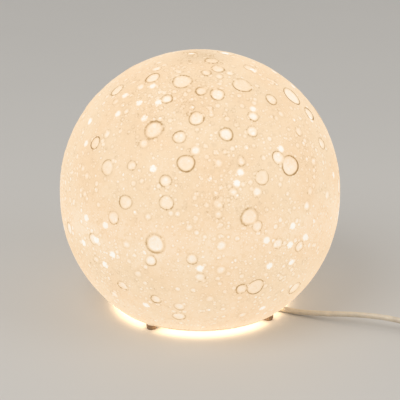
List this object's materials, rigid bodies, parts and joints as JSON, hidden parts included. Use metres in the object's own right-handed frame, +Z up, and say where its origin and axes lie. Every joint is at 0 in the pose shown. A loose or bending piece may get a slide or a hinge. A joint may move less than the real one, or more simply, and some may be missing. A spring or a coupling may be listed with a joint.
{
  "type": "moon lamp",
  "caption": "Round table lamp: a glowing cratered resin globe on four low feet, lit by one bulb on a base cross, with a flex, inline rocker switch and flat two-pin plug.",
  "frame": {"origin": "on the table, under the middle of the globe", "axes": "+Z up along the globe's axis; the four feet stand at 45 degrees between X and Y; the flex leaves 31.5 degrees from +X towards -Y"},
  "size_m": [0.4628, 0.3174, 0.2328],
  "materials": {
    "shade_resin": "moulded resin, satin, lit from inside",
    "opal_plastic": "opal diffuser, lit",
    "base_steel": "pale powder coat",
    "foot_rubber": "matt",
    "zinc_screw": "zinc plated",
    "brass": "plain",
    "holder_black": "moulded thermoset",
    "holder_white": "moulded",
    "ceramic": "unglazed",
    "relief_rubber": "soft, pale",
    "lead_brown": "cable insulation",
    "lead_blue": "cable insulation",
    "nickel": "nickel plated",
    "black_glass": "opaque",
    "housing_white": "moulded",
    "board": "white lacquer on aluminium",
    "led_yellow": "phosphor",
    "flex_pvc": "translucent pale flex",
    "switch_white": "moulded",
    "plug_white": "moulded",
    "sleeve_black": "pin insulation"
  },
  "bodies": {
    "lamp": {"moon_shade": "shade_resin", "rim_inserts": "brass", "base_cross": "base_steel", "foot_front_right": "foot_rubber", "foot_rear_right": "foot_rubber", "foot_rear_left": "foot_rubber", "foot_front_left": "foot_rubber", "foot_screws": "zinc_screw", "holder_base": "holder_black", "holder_screws": "zinc_screw", "contact_carrier": "ceramic", "terminals": "brass", "terminal_screws": "zinc_screw", "thread_shell": "brass", "centre_contact": "brass", "holder_sleeve": "holder_black", "cord_relief": "relief_rubber", "live_lead": "lead_brown", "neutral_lead": "lead_blue", "bulb_contact": "nickel", "bulb_insulator": "black_glass", "bulb_cap": "nickel", "bulb_housing": "housing_white", "bulb_board": "board", "bulb_leds": "led_yellow", "bulb_globe": "opal_plastic", "lamp_cord": "flex_pvc", "switch_cord": "flex_pvc", "cord_coil": "flex_pvc", "plug_cord": "flex_pvc", "switch_lower_case": "switch_white", "switch_upper_case": "switch_white", "switch_contacts": "brass", "switch_screws": "zinc_screw", "plug_relief": "plug_white", "plug_body": "plug_white", "pin_sleeves": "sleeve_black", "plug_pins": "nickel"},
    "rocker": {"switch_rocker": "switch_white", "rocker_contact": "brass"}
  },
  "joints": [
    {"name": "rocker_tilt", "type": "hinge", "parent": "lamp", "child": "rocker", "pos_m": [0.22339, -0.13689, 0.0132], "axis": [0.5225, 0.8526, 0], "range_deg": [-20, 0]}
  ]
}
